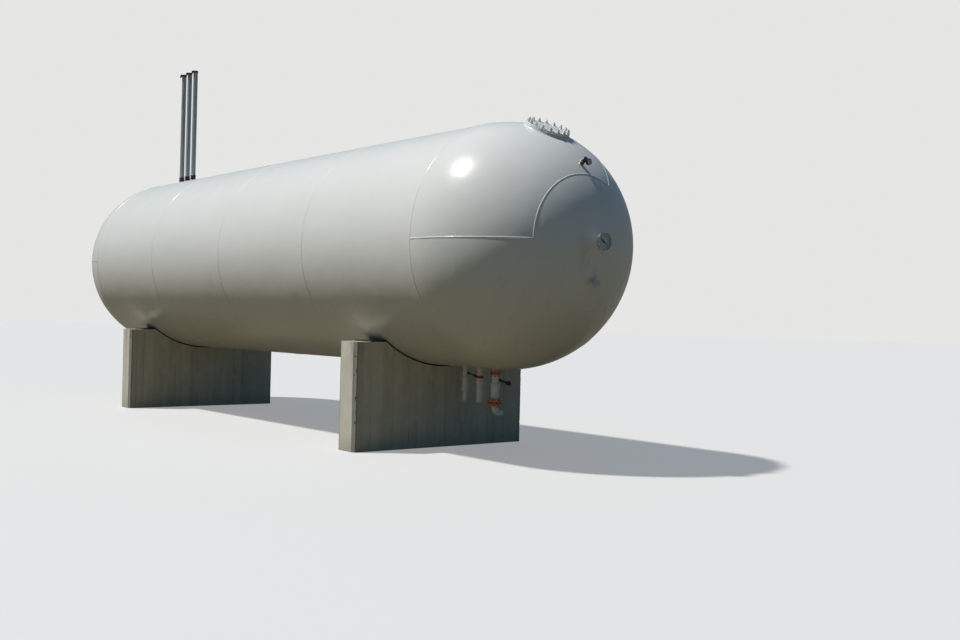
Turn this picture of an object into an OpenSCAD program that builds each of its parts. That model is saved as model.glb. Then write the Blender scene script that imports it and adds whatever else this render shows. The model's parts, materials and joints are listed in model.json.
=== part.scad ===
// Horizontal pressure tank on two concrete piers.
// X runs along the tank with the instrument head at +X, Y is across it, Z is up.
// The origin is on the ground, below the middle of the tank's whole length.

/* [Tank] */
// Outside diameter of the shell and heads
tank_od = 3327; // [2400:1:3600]
// Height of the tank's axis above the ground
axis_h = 2850; // [2500:1:3400]
// Length of one rolled shell course
course_len = 2655; // [2000:1:3000]
// Number of shell courses
courses = 4; // [4:1:4]
// Wall of the shell courses
shell_wall = 19; // [8:1:30]
// Wall of the hemispherical heads
head_wall = 11; // [6:1:24]
// Half angle of the crown plate, seen from the head's centre
crown_angle = 31; // [28:1:33]
// Number of petal plates in a head
petals = 3; // [3:1:3]
// Gap between neighbouring petals, under their bead
seam_gap = 0.4; // [0.2:0.1:1]
// Width of a weld bead over its toes
bead_w = 24; // [14:1:36]
// Height of a weld bead over the plate
bead_h = 4; // [2:0.5:8]
// Clock angle of the first course's long seam, from the rear side
long_seam_clock = 38; // [20:1:50]
// Turn of every second course's long seam past the first one's
long_seam_step = 16; // [8:1:25]

/* [Manway] */
// Angle between the tank's axis and the manway's axis
manway_angle = 65; // [58:1:72]
// Clear bore of the manway
manway_bore = 390; // [300:1:440]
// Outside diameter of the cover
cover_od = 597; // [540:1:640]
// Thickness of the cover
cover_t = 37; // [25:1:50]
// Step of the pad past the cover
pad_lip = 8; // [4:1:20]
// Thickness of the pad set into the head
pad_t = 52; // [44:1:70]
// Height of the pad's face above the head at the pad's rim
pad_rise = 19; // [12:1:26]
// Thickness of the manway gasket
gasket_t = 3; // [2:0.5:5]
// Clearance between the gasket and the stud holes
gasket_clear = 15; // [5:1:25]
// Number of studs through the cover
studs = 16; // [12:4:20]
// Diameter of a stud's hole
stud_hole = 28.6; // [20:0.1:32]
// Distance from the cover's rim to the stud circle
stud_edge = 28.6; // [22:0.1:36]
// Chamfer of the cover's and the pad's upper edges
manway_chamfer = 3; // [1:0.5:6]

/* [Level gauge] */
// Outside diameter of the bezel
level_bezel_d = 236; // [180:1:280]
// Depth of the gauge case
level_case_h = 46; // [36:1:60]
// Distance from the head to the back of the case
level_standoff = 84; // [60:1:120]
// Wall of the gauge case
level_wall = 4; // [3:0.5:6]
// Width of the bezel's lip over the glass
level_lip = 9; // [6:1:14]
// Diameter of the coupling welded to the head
level_boss_d = 76; // [60:1:100]
// Length of that coupling
level_boss_h = 34; // [24:1:50]
// Length of the pointer over both ends
pointer_len = 150; // [110:1:160]

/* [Thermometer] */
// Drop of the thermometer below the tank's axis
thermo_drop = 510; // [400:1:640]
// Diameter of the dial case
thermo_d = 112; // [80:1:130]
// Depth of the dial case
thermo_case_h = 24; // [16:1:34]
// Projection of the well's head past the tank
thermo_standoff = 62; // [45:1:90]

/* [Pressure gauge] */
// Angle between the tank's axis and the gauge valve
valve_angle = 36.5; // [35.5:0.5:42]
// Diameter of the valve body
valve_d = 46; // [36:1:56]
// Length of the valve body
valve_h = 92; // [80:1:110]
// Diameter of the pressure gauge
pressure_d = 84; // [64:1:100]
// Depth of the pressure gauge
pressure_h = 30; // [22:1:40]

/* [Outlets] */
// Distance of the liquid outlet from the head's seam
liquid_x = 220; // [180:1:260]
// Distance between outlets
outlet_pitch = 330; // [300:1:380]
// Outside diameter of the liquid and filling pipes
pipe3_d = 88.9; // [80:0.1:95]
// Outside diameter of the vapour pipe
pipe2_d = 60.3; // [48:0.1:66]
// Wall of the pipes
pipe_wall = 6; // [4:0.5:8]
// Drop of the pipe ends below the tank
riser_drop = 480; // [460:1:520]
// Centre to end distance of the elbow
elbow_reach = 127; // [120:1:150]
// Diameter of the flanges above the liquid valve
upper_flange_d = 152.4; // [148:0.1:170]
// Thickness of one of those flanges
upper_flange_t = 20; // [16:0.5:22]
// Diameter of the flanges below the liquid valve
lower_flange_d = 209.6; // [200:0.1:230]
// Thickness of one of those flanges
lower_flange_t = 28.6; // [22:0.1:32]
// Thickness of the spacer between two flanges
spacer_t = 14; // [6:1:14]

/* [Relief vents] */
// Distance of the middle stack from the far head's seam
vent_x = 450; // [400:1:700]
// Distance between stacks
vent_pitch = 270; // [220:1:340]
// Length of a stack pipe
stack_len = 2134; // [1500:1:2400]
// Wall of a stack pipe
stack_wall = 4; // [3:0.5:7]
// Outside diameter of a stack pipe
stack_d = 88.9; // [70:0.1:100]
// Height of the nozzle on the tank
vent_nozzle_h = 60; // [45:1:90]
// Height of the relief valve over its nozzle
vent_valve_h = 92; // [80:1:120]

/* [Piers] */
// Width of a pier across the tank
pier_w = 3050; // [2600:1:3300]
// Thickness of a pier along the tank
pier_t = 420; // [300:1:600]
// Drop of a pier's flat top below the tank's axis
pier_drop = 1337; // [1250:1:1450]
// Chamfer of the upright corners
pier_chamfer = 30; // [10:1:60]
// Distance of the near pier's middle from the near head's seam
near_pier_in = 1579; // [1300:1:2000]
// Distance of the far pier's middle from the far head's seam
far_pier_in = 1235; // [1150:1:2000]
// Thickness of the felt strip in the cradle
felt_t = 20; // [10:1:30]
// Length of felt on a pier's flat top, on each side of the cradle
felt_out = 250; // [100:1:400]

/* [Hidden] */

// Facets of large and small rounds
fn_big = 240;
fn_small = 64;

// Colours
white_paint = [0.93, 0.93, 0.91];
galvanised = [0.56, 0.59, 0.6];
dark_iron = [0.13, 0.13, 0.13];
orange_paint = [0.8, 0.3, 0.12];
red_paint = [0.5, 0.12, 0.14];
concrete = [0.66, 0.64, 0.6];
felt_black = [0.07, 0.07, 0.07];
bright_metal = [0.75, 0.77, 0.78];
dial_grey = [0.62, 0.68, 0.74];

// Tank
tank_r = tank_od / 2;
tank_len = courses * course_len;
level_reach = level_standoff + level_case_h;
whole_len = tank_len + tank_od + level_reach;
near_x = whole_len / 2 - level_reach - tank_r;
far_x = near_x - tank_len;
plate_cut = 2 * tank_r;
first_seam_clock = 180;
petal_turn = 360 / petals;
seam_turn = seam_gap / tank_r * 180 / PI;
pier_h = axis_h - pier_drop;
cradle_r = tank_r + felt_t;
cradle_y = sqrt(cradle_r * cradle_r - pier_drop * pier_drop);

// Weld bead, an arc in flats that stands on the plate
bead_round = (bead_w * bead_w / 4 + bead_h * bead_h) / (2 * bead_h);
bead_centre = tank_r + bead_h - bead_round;
bead_half = asin(bead_w / 2 / bead_round);
bead_flats = 6;
toe_gap = 1;
toe_angle = asin((bead_w / 2 + toe_gap) / tank_r);

// Manway
pad_od = cover_od + 2 * pad_lip;
pad_face = sqrt(tank_r * tank_r - pad_od * pad_od / 4) + pad_rise;
stud_circle = cover_od - 2 * stud_edge;
gasket_od = stud_circle - stud_hole - 2 * gasket_clear;

// Places of the outlets along X
liquid_at = near_x - liquid_x;
fill_at = liquid_at - outlet_pitch;
vapour_at = fill_at - outlet_pitch;
tank_bottom = axis_h - tank_r;
tank_top = axis_h + tank_r;

// Length that a cutting tool runs past the face it cuts
past = 1;

// Turns a piece drawn along Z so that it lies along X
module along_x() {
    rotate([0, 90, 0]) children();
}

// Moves to the centre of the near head
module at_near_head() {
    translate([near_x, 0, axis_h]) children();
}

// Moves to the centre of the far head, with its crown towards -X
module at_far_head() {
    translate([far_x, 0, axis_h]) mirror([1, 0, 0]) children();
}

// Places a piece on the near head's surface line, square to the sphere
module square_to_head(angle) {
    at_near_head() rotate([0, -angle, 0]) children();
}

// Pipe or ring of outer diameter d
module tube(d, wall, h) {
    difference() {
        cylinder(d = d, h = h, $fn = fn_small);
        translate([0, 0, -past]) cylinder(d = d - 2 * wall, h = h + 2 * past, $fn = fn_small);
    }
}

// Head plate between two angles from the crown's middle
module plate_profile(from, to) {
    intersection() {
        difference() {
            circle(r = tank_r, $fn = fn_big);
            circle(r = tank_r - head_wall, $fn = fn_big);
        }
        polygon([[0, 0],
                 plate_cut * [sin(from), cos(from)],
                 plate_cut * [sin(to), cos(to)]]);
    }
}

// Petal plate number i, counted from the seam at the middle of the front
module petal(i) {
    along_x() rotate([0, 0, first_seam_clock + 90 + i * petal_turn + seam_turn / 2])
        rotate_extrude(angle = petal_turn - seam_turn, $fn = fn_big)
            plate_profile(crown_angle, 90);
}

// Crown plate of a head
module crown() {
    along_x() rotate_extrude($fn = fn_big) plate_profile(0, crown_angle);
}

// Cross-section of a bead, straight where it sits on the plate
module bead_profile() {
    polygon([for (i = [0 : bead_flats])
        let (a = bead_half * (2 * i / bead_flats - 1))
        [bead_centre + bead_round * cos(a), bead_round * sin(a)]]);
}

// Bead round the crown plate, and beads along the petals' edges that stop short of the others
module head_welds() {
    along_x() rotate_extrude($fn = fn_big) rotate([0, 0, 90 - crown_angle]) bead_profile();
    for (i = [0 : petals - 1])
        rotate([first_seam_clock + i * petal_turn, 0, 0]) rotate([0, 0, crown_angle + toe_angle])
            rotate_extrude(angle = 90 - crown_angle - 2 * toe_angle, $fn = fn_big)
                bead_profile();
}

// Rolled shell course number i, counted from the near head
module shell_course(i) {
    color(white_paint) translate([near_x - (i + 1) * course_len, 0, axis_h]) along_x()
        difference() {
            cylinder(r = tank_r, h = course_len, $fn = fn_big);
            translate([0, 0, -past])
                cylinder(r = tank_r - shell_wall, h = course_len + 2 * past, $fn = fn_big);
        }
}

module shell_welds() {
    color(white_paint) {
        for (i = [0 : courses])
            translate([near_x - i * course_len, 0, axis_h]) along_x()
                rotate_extrude($fn = fn_big) bead_profile();
        for (i = [0 : courses - 1])
            translate([near_x - (i + 1) * course_len, 0, axis_h])
                rotate([long_seam_clock + long_seam_step * (i % 2), 0, 0]) long_bead();
    }
}

// Bead along one course, between the toes of its girth beads
module long_bead() {
    translate([bead_w / 2 + toe_gap, 0, 0]) rotate([90, 0, 90])
        linear_extrude(height = course_len - bead_w - 2 * toe_gap) bead_profile();
}

module manway_hole() {
    square_to_head(manway_angle) along_x()
        translate([0, 0, pad_face - 2 * pad_t])
            cylinder(d = pad_od, h = 3 * pad_t, $fn = fn_small);
}

module near_head_petal_1() {
    color(white_paint) at_near_head() petal(0);
}

module near_head_petal_2() {
    color(white_paint) at_near_head() petal(1);
}

// The petal at the top, with the hole for the manway's pad
module near_head_petal_3() {
    color(white_paint) difference() {
        at_near_head() petal(2);
        manway_hole();
    }
}

module near_head_crown() {
    color(white_paint) at_near_head() crown();
}

module near_head_welds() {
    color(white_paint) at_near_head() head_welds();
}

module far_head_petal_1() {
    color(white_paint) at_far_head() petal(0);
}

module far_head_petal_2() {
    color(white_paint) at_far_head() petal(1);
}

module far_head_petal_3() {
    color(white_paint) at_far_head() petal(2);
}

module far_head_crown() {
    color(white_paint) at_far_head() crown();
}

module far_head_welds() {
    color(white_paint) at_far_head() head_welds();
}

// Turned piece with a bore, from its foot at z up, with its upper outer edge cut
module turned_ring(d, bore, z, h) {
    c = manway_chamfer;
    translate([0, 0, z]) rotate_extrude($fn = fn_small * 2)
        polygon([[bore / 2, 0], [d / 2, 0], [d / 2, h - c], [d / 2 - c, h], [bore / 2, h]]);
}

// Thick ring set into the head, which carries the studs
module manway_pad() {
    color(white_paint) square_to_head(manway_angle) along_x()
        turned_ring(pad_od, manway_bore, pad_face - pad_t, pad_t);
}

module manway_gasket() {
    color(felt_black) square_to_head(manway_angle) along_x() translate([0, 0, pad_face])
        tube(gasket_od, (gasket_od - manway_bore) / 2, gasket_t);
}

// Flat cover with its ring of stud holes
module manway_cover() {
    color(white_paint) square_to_head(manway_angle) along_x() difference() {
        turned_ring(cover_od, 0, pad_face + gasket_t, cover_t);
        for (i = [0 : studs - 1])
            rotate([0, 0, (i + 0.5) * 360 / studs])
                translate([stud_circle / 2, 0, pad_face + gasket_t - past])
                    cylinder(d = stud_hole, h = cover_t + 2 * past, $fn = fn_small);
    }
}

// Level gauge
boss_sink = 20;
level_r = level_bezel_d / 2;
level_neck_r = 31;
level_neck_h = 24;
level_back_r = 44;
level_shoulder = 14;
level_rim = 3;
level_floor = 12;
level_dial_t = 3;
level_glass_t = 4;
level_dial_r = level_r - level_wall - 2;
hand_turn = 35;
hand_boss_d = 22;
hand_boss_h = 12;
hand_w = 18;
hand_t = 3;
hand_tail = 0.42;

// Coupling along X on the near head, from its surface to a distance from the head's centre
module head_boss(d, drop, to) {
    foot = sqrt(tank_r * tank_r - drop * drop) - boss_sink;
    at_near_head() difference() {
        translate([foot, 0, -drop]) along_x() cylinder(d = d, h = to - foot, $fn = fn_small);
        sphere(r = tank_r, $fn = fn_big);
    }
}

module level_gauge_boss() {
    color(white_paint) head_boss(level_boss_d, 0, tank_r + level_boss_h);
}

// Case of the level gauge, a turned body with a neck, a sunk face and a bezel's lip
module level_gauge_case() {
    rim_z = level_reach - level_rim;
    color(bright_metal) at_near_head() translate([tank_r, 0, 0]) along_x()
        rotate_extrude($fn = fn_small * 2) polygon([
            [0, level_boss_h],
            [level_neck_r, level_boss_h],
            [level_neck_r, level_standoff - level_neck_h],
            [level_back_r, level_standoff],
            [level_r - level_shoulder, level_standoff + level_rim],
            [level_r, level_standoff + level_shoulder],
            [level_r, rim_z],
            [level_r - level_rim, level_reach],
            [level_r - level_lip, level_reach],
            [level_r - level_lip, rim_z],
            [level_dial_r, rim_z],
            [level_dial_r, level_standoff + level_floor],
            [0, level_standoff + level_floor]]);
}

module level_gauge_dial() {
    color(dial_grey) at_near_head() translate([tank_r + level_standoff + level_floor, 0, 0])
        along_x() cylinder(r = level_dial_r, h = level_dial_t, $fn = fn_small * 2);
}

// Tapered hand with its boss, turned as on a part-full tank
module level_gauge_pointer() {
    color(dark_iron) at_near_head()
        translate([tank_r + level_standoff + level_floor + level_dial_t, 0, 0])
            rotate([-hand_turn, 0, 0]) along_x() {
                cylinder(d = hand_boss_d, h = hand_boss_h, $fn = fn_small);
                translate([0, 0, hand_boss_h / 2]) linear_extrude(height = hand_t) polygon([
                    [-hand_w / 4, -pointer_len * hand_tail],
                    [hand_w / 4, -pointer_len * hand_tail],
                    [hand_w / 2, 0],
                    [0, pointer_len * (1 - hand_tail)],
                    [-hand_w / 2, 0]]);
            }
}

// Glass behind the bezel's lip
module level_gauge_glass() {
    color(bright_metal, 0.3) at_near_head()
        translate([tank_r + level_reach - level_rim - level_glass_t, 0, 0]) along_x()
            cylinder(r = level_dial_r, h = level_glass_t, $fn = fn_small * 2);
}

// Thermometer, with small dials as the pressure gauge has
thermo_foot = sqrt(tank_r * tank_r - thermo_drop * thermo_drop);
thermo_face = thermo_foot + thermo_standoff;
thermo_well_d = 44;
thermo_hex_d = 32;
thermo_hex_h = 24;
dial_rim = 5;
small_dial_t = 2;
dial_sink = 4;

// Head of the well, along the tank's axis
module thermometer_well() {
    color(white_paint) head_boss(thermo_well_d, thermo_drop, thermo_face - thermo_hex_h);
}

// Hexagon and round case of the thermometer
module thermometer_case() {
    color(bright_metal) at_thermometer() {
        translate([0, 0, -thermo_hex_h]) cylinder(d = thermo_hex_d, h = thermo_hex_h, $fn = 6);
        dial_case(thermo_d, thermo_case_h);
    }
}

// Back of the thermometer's case, with Z along the tank
module at_thermometer() {
    at_near_head() translate([thermo_face, 0, -thermo_drop]) along_x() children();
}

// Shallow round case with a rim and a sunk face
module dial_case(d, h) {
    difference() {
        cylinder(d = d, h = h, $fn = fn_small);
        translate([0, 0, h - dial_sink - small_dial_t]) cylinder(
            d = d - 2 * dial_rim, h = dial_sink + small_dial_t + past, $fn = fn_small);
    }
}

// Face of a small dial in its case
module small_dial(d, h) {
    translate([0, 0, h - dial_sink - small_dial_t])
        cylinder(d = d - 2 * dial_rim, h = small_dial_t, $fn = fn_small);
}

// Gauge valve, its hand wheel, side ports and pressure gauge
port_rise = 0.68;
valve_x = (tank_r + valve_h * port_rise) * cos(valve_angle);
valve_z = (tank_r + valve_h * port_rise) * sin(valve_angle);
coupling_d = valve_d + 8;
coupling_h = 24;
spindle_d = 16;
spindle_h = 14;
wheel_d = 60;
wheel_t = 9;
port_d = 22;
port_lip = 8;
port_len = 12;
plug_out = 17;
plug_reach = valve_d / 2 + port_len + plug_out;
plug_head_d = 32;
plug_head_h = 20;
rear_port_len = 10;
stem_len = 12;
stem_seat = 4;
pressure_y = valve_d / 2 + rear_port_len + stem_len + pressure_d / 2;

// Gauge valve with its coupling, spindle, hand wheel and two side ports
module gauge_valve() {
    color(dark_iron) {
        difference() {
            square_to_head(valve_angle) along_x() translate([0, 0, tank_r]) {
                translate([0, 0, -boss_sink])
                    cylinder(d = coupling_d, h = boss_sink + coupling_h, $fn = fn_small);
                translate([0, 0, -boss_sink])
                    cylinder(d = valve_d, h = boss_sink + valve_h, $fn = fn_small);
                translate([0, 0, valve_h]) cylinder(d = spindle_d, h = spindle_h, $fn = fn_small);
                translate([0, 0, valve_h + spindle_h])
                    cylinder(d = wheel_d, h = wheel_t, $fn = fn_small);
            }
            at_near_head() sphere(r = tank_r, $fn = fn_big);
            plug_shank();
        }
        difference() {
            at_port() translate([0, 0, -valve_d / 2 - port_len])
                cylinder(d = port_d + port_lip, h = valve_d / 2 + port_len, $fn = fn_small);
            plug_shank();
        }
        at_port() cylinder(d = port_d, h = valve_d / 2 + rear_port_len, $fn = fn_small);
    }
}

// Middle of the valve's side ports, with Z towards the rear
module at_port() {
    at_near_head() translate([valve_x, 0, valve_z]) rotate([-90, 0, 0]) children();
}

// Shank of the plug in the front port
module plug_shank() {
    at_port() translate([0, 0, -plug_reach])
        cylinder(d = port_d, h = plug_reach - port_len, $fn = fn_small);
}

// White plug in the valve's front port
module gauge_valve_plug() {
    color(white_paint) {
        plug_shank();
        at_port() translate([0, 0, -plug_reach - plug_head_h / 2])
            cylinder(d = plug_head_d, h = plug_head_h, $fn = fn_small);
    }
}

// Round pressure gauge on its stem, facing along the tank
module pressure_gauge() {
    color(dark_iron) {
        at_pressure_gauge() dial_case(pressure_d, pressure_h);
        at_port() translate([0, 0, pressure_y - pressure_d / 2 - stem_len])
            cylinder(d = pressure_h / 2, h = stem_len + stem_seat, $fn = fn_small);
    }
}

// Back of the pressure gauge's case, with Z along the tank
module at_pressure_gauge() {
    at_near_head() translate([valve_x - pressure_h / 2, pressure_y, valve_z])
        along_x() children();
}

// Faces of the two small dials
module gauge_dials() {
    color(dial_grey) {
        at_thermometer() small_dial(thermo_d, thermo_case_h);
        at_pressure_gauge() small_dial(pressure_d, pressure_h);
    }
}

// Drops of the outlet pieces below the tank
nozzle_drop = 30;
nozzle_in = 20;
nozzle_lip = 22;
upper_joint_drop = 60;
lower_joint_drop = riser_drop - 20;
joint_gap = 1;
elbow_end = 26;

// Steps of the turned pieces under the tank: drop, diameter and, on a hexagon, its sides
vapour_steps = [
    [nozzle_drop, 52],
    [58, 66, 8],
    [118, 52],
    [155, 102, 6],
    [176, 76],
    [314, 90, 6],
    [340, 90]];
fill_steps = [
    [nozzle_drop, 74],
    [70, 86, 8],
    [112, 86]];
fill_band_steps = [
    [112, 106],
    [147, 106]];
fill_collar_steps = [
    [147, 92],
    [180, 112, 8],
    [222, 112]];
liquid_steps = [
    [upper_joint_drop + joint_gap, pipe3_d],
    [108, 92],
    [205, 126],
    [230, 122],
    [304, 110],
    [396, pipe3_d],
    [lower_joint_drop - joint_gap, pipe3_d]];

// Clear passages of the valves
vapour_bore = pipe2_d * 0.63;
fill_bore = pipe3_d / 2;
liquid_bore = pipe3_d * 0.72;

// Levers and their stems
lever_gap = 0.5;
stem_gap = 0.3;
stem_d = 16;
stem_in = 22;
hub_t = 14;
hub_lip = 12;
lever_t = 8;
lever_lift = 4;
lever_droop = 18;
vapour_stem_drop = 88;
vapour_stem_x = 58;
vapour_boss_d = 34;
liquid_stem_drop = 150;
liquid_stem_x = 92;
liquid_boss_d = 44;

// Levers: length and width of the arm, diameter and length of the drum at its end
vapour_arm = [130, 22, 36, 26];
liquid_arm = [140, 30, 60, 50];

// Round nozzle under the tank, cut to the shell
module bottom_nozzle(x, d) {
    difference() {
        translate([x, 0, tank_bottom - nozzle_drop])
            cylinder(d = d, h = nozzle_drop + nozzle_in, $fn = fn_small);
        translate([x - d, 0, axis_h]) along_x() cylinder(r = tank_r, h = 2 * d, $fn = fn_big);
    }
}

// Three nozzles, the last one a pipe that runs down into its flange
module outlet_nozzles() {
    color(white_paint) {
        bottom_nozzle(vapour_at, pipe2_d + nozzle_lip);
        bottom_nozzle(fill_at, pipe3_d + nozzle_lip);
        bottom_nozzle(liquid_at, pipe3_d);
        hanging(liquid_at, [[nozzle_drop, pipe3_d], [upper_joint_drop - joint_gap, pipe3_d]]);
    }
}

// Turned piece that hangs from the first drop in its steps to the last
module hanging(x, steps) {
    for (i = [0 : len(steps) - 2])
        translate([x, 0, tank_bottom - steps[i + 1][0]])
            cylinder(d = steps[i][1], h = steps[i + 1][0] - steps[i][0],
                     $fn = is_undef(steps[i][2]) ? fn_small : steps[i][2]);
}

// Last drop of a turned piece
function end_of(steps) = steps[len(steps) - 1][0];

// Ball valve with its stem boss, and the check valve below it
module vapour_valve() {
    color(white_paint) difference() {
        union() {
            hanging(vapour_at, vapour_steps);
            stem_boss(vapour_at, vapour_stem_drop, vapour_stem_x, vapour_boss_d);
        }
        stem_bore(vapour_at, vapour_stem_drop, vapour_stem_x);
        passage(vapour_at, vapour_bore);
    }
}

// Upright passage through a valve
module passage(x, d) {
    translate([x, 0, tank_bottom - 2 * riser_drop])
        cylinder(d = d, h = 2 * riser_drop, $fn = fn_small);
}

// Boss that carries a lever's stem, pointing to +X
module stem_boss(x, drop, reach, d) {
    translate([x, 0, tank_bottom - drop]) along_x()
        cylinder(d = d, h = reach - lever_gap, $fn = fn_small);
}

// Blind hole for a lever's stem
module stem_bore(x, drop, reach) {
    translate([x + reach - stem_in - past, 0, tank_bottom - drop]) along_x()
        cylinder(d = stem_d + 2 * stem_gap, h = stem_in + 2 * past, $fn = fn_small);
}

// Lever with its stem and hub, reaching to the rear and down a little, to a round drum
module lever(x, drop, reach, arm) {
    w = arm[1];
    translate([x + reach, 0, tank_bottom - drop]) {
        along_x() cylinder(d = w + hub_lip, h = hub_t, $fn = fn_small);
        translate([-stem_in, 0, 0]) along_x()
            cylinder(d = stem_d, h = stem_in + past, $fn = fn_small);
        translate([lever_lift, 0, 0]) rotate([-lever_droop, 0, 0]) along_x() {
            linear_extrude(height = lever_t)
                polygon([[-w / 2, 0], [w / 2, 0], [w / 3, arm[0]], [-w / 3, arm[0]]]);
            translate([0, arm[0], 0]) cylinder(d = arm[2], h = arm[3], $fn = fn_small);
        }
    }
}

module vapour_lever() {
    color(dark_iron) lever(vapour_at, vapour_stem_drop, vapour_stem_x, vapour_arm);
}

module liquid_lever() {
    color(dark_iron) lever(liquid_at, liquid_stem_drop, liquid_stem_x, liquid_arm);
}

// Small riser down to the header's height
module vapour_riser() {
    color(white_paint) translate([vapour_at, 0, tank_bottom - riser_drop])
        tube(pipe2_d, pipe_wall, riser_drop - end_of(vapour_steps));
}

// Filling connection with its collar
module fill_valve() {
    color(white_paint) difference() {
        union() {
            hanging(fill_at, fill_steps);
            hanging(fill_at, fill_collar_steps);
        }
        passage(fill_at, fill_bore);
    }
}

module fill_band() {
    color(red_paint) difference() {
        hanging(fill_at, fill_band_steps);
        passage(fill_at, fill_bore);
    }
}

module fill_riser() {
    color(white_paint) translate([fill_at, 0, tank_bottom - riser_drop])
        tube(pipe3_d, pipe_wall, riser_drop - end_of(fill_collar_steps));
}

// Shut-off valve of the liquid outlet, with the pipe ends that its flanges sit on
module liquid_valve() {
    color(white_paint) difference() {
        union() {
            hanging(liquid_at, liquid_steps);
            stem_boss(liquid_at, liquid_stem_drop, liquid_stem_x, liquid_boss_d);
        }
        stem_bore(liquid_at, liquid_stem_drop, liquid_stem_x);
        passage(liquid_at, liquid_bore);
    }
}

// Elbow that turns to the rear below the lower flanges
module liquid_elbow() {
    bend = elbow_reach - elbow_end;
    neck = spacer_t / 2 + lower_flange_t + lower_hub_h;
    color(white_paint) translate([liquid_at, 0, tank_bottom - lower_joint_drop - joint_gap]) {
        translate([0, 0, -neck]) tube(pipe3_d, pipe_wall, neck);
        translate([0, bend, -neck]) rotate([-90, 0, -90])
            rotate_extrude(angle = 90, $fn = fn_small) translate([bend, 0]) difference() {
                circle(d = pipe3_d, $fn = fn_small);
                circle(d = pipe3_d - 2 * pipe_wall, $fn = fn_small);
            }
        translate([0, bend, -neck - bend]) rotate([-90, 0, 0])
            tube(pipe3_d, pipe_wall, elbow_end);
    }
}

// Flanged joints: drop, diameter, thickness, bolt circle, bolts and height of the hub
upper_hub_h = 3;
lower_hub_h = 14;
upper_circle = upper_flange_d - 31.7;
lower_circle = lower_flange_d - 41.3;
upper_joint = [upper_joint_drop, upper_flange_d, upper_flange_t, upper_circle, 4, upper_hub_h];
lower_joint = [lower_joint_drop, lower_flange_d, lower_flange_t, lower_circle, 8, lower_hub_h];
bolt_hole = 19;
hub_wall = 6;
spacer_gap = 3;

// Two flanges on the pipe ends, with a spacer inside their ring of bolt holes
module flanged_joint(joint) {
    r = pipe3_d / 2;
    edge = joint[1] / 2;
    inner = joint[3] / 2 - bolt_hole / 2 - spacer_gap;
    low = spacer_t / 2;
    high = low + joint[2];
    top = high + joint[5];
    translate([liquid_at, 0, tank_bottom - joint[0]]) difference() {
        rotate_extrude($fn = fn_small * 2) polygon([
            [r, -top], [r + hub_wall / 2, -top], [r + hub_wall, -high], [edge, -high],
            [edge, -low], [inner, -low], [inner, low], [edge, low],
            [edge, high], [r + hub_wall, high], [r + hub_wall / 2, top], [r, top]]);
        for (i = [0 : joint[4] - 1])
            rotate([0, 0, (i + 0.5) * 360 / joint[4]]) translate([joint[3] / 2, 0, -high - past])
                cylinder(d = bolt_hole, h = 2 * (high + past), $fn = fn_small);
    }
}

module liquid_flanges() {
    color(orange_paint) {
        flanged_joint(upper_joint);
        flanged_joint(lower_joint);
    }
}

// Relief vents
vent_nozzle_d = stack_d + 22;
stack_base = tank_top + vent_nozzle_h + vent_valve_h;
adapter_d = stack_d + 8;
adapter_hex_d = stack_d + 20;
adapter_ring_h = 20;
adapter_hex_h = vent_valve_h * 0.4;

// Repeats a piece at the three relief valves
module at_vents() {
    for (i = [-1 : 1])
        translate([far_x + vent_x + i * vent_pitch, 0, 0]) children();
}

module relief_nozzles() {
    color(white_paint) difference() {
        at_vents() translate([0, 0, tank_top - nozzle_in])
            cylinder(d = vent_nozzle_d, h = vent_nozzle_h + nozzle_in, $fn = fn_small);
        translate([far_x, 0, axis_h]) along_x() cylinder(r = tank_r, h = course_len, $fn = fn_big);
    }
}

// Relief valve with its hexagon, and the ring that takes the stack
module relief_valves() {
    color(dark_iron) at_vents() translate([0, 0, tank_top + vent_nozzle_h]) {
        cylinder(d = adapter_hex_d, h = adapter_hex_h, $fn = 6);
        cylinder(d = adapter_d, h = vent_valve_h, $fn = fn_small);
        translate([0, 0, vent_valve_h - adapter_ring_h])
            cylinder(d = adapter_hex_d, h = adapter_ring_h, $fn = fn_small);
    }
}

module vent_stacks() {
    color(galvanised) at_vents() translate([0, 0, stack_base])
        tube(stack_d, stack_wall, stack_len);
}

// Rain caps
cap_t = 5;
cap_over = 6;
skirt_h = 34;
skirt_wall = 4;
ear_w = 28;
ear_d = 18;
ear_out = 2;
arm_w = 14;
arm_d = 20;
arm_up = 2;
weight_d = 28;
weight_l = 32;
weight_drop = 46;

// Cap on each stack, with a skirt, a hinge ear at the front and a weight on its arm
module rain_caps() {
    front = -stack_d / 2;
    color(dark_iron) at_vents() translate([0, 0, stack_base + stack_len]) {
        cylinder(d = stack_d + 2 * cap_over, h = cap_t, $fn = fn_small);
        translate([0, 0, -skirt_h]) tube(stack_d + 2 * skirt_wall, skirt_wall, skirt_h);
        translate([-ear_w / 2, front - ear_d - ear_out, -skirt_h])
            cube([ear_w, ear_d, skirt_h + skirt_wall]);
        translate([-weight_l / 2, front - skirt_h, -weight_drop]) along_x()
            cylinder(d = weight_d, h = weight_l, $fn = fn_small);
        translate([-arm_w / 2, front - ear_d - arm_d, -weight_drop])
            cube([arm_w, arm_d, weight_drop + arm_up]);
    }
}

// Concrete pier with its cradle
module pier(x) {
    color(concrete) translate([x, 0, 0]) difference() {
        linear_extrude(height = pier_h) polygon(pier_outline());
        translate([-pier_t, 0, axis_h]) along_x()
            cylinder(r = cradle_r, h = 2 * pier_t, $fn = fn_big);
    }
}

// Outline of a pier on the ground, with its corners cut
function pier_outline() = let (
    a = pier_t / 2,
    b = pier_w / 2,
    c = pier_chamfer
) [[-a + c, -b], [a - c, -b], [a, -b + c], [a, b - c], [a - c, b], [-a + c, b],
   [-a, b - c], [-a, -b + c]];

near_pier_x = near_x - near_pier_in;
far_pier_x = far_x + far_pier_in;

module near_pier() {
    pier(near_pier_x);
}

module far_pier() {
    pier(far_pier_x);
}

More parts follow.
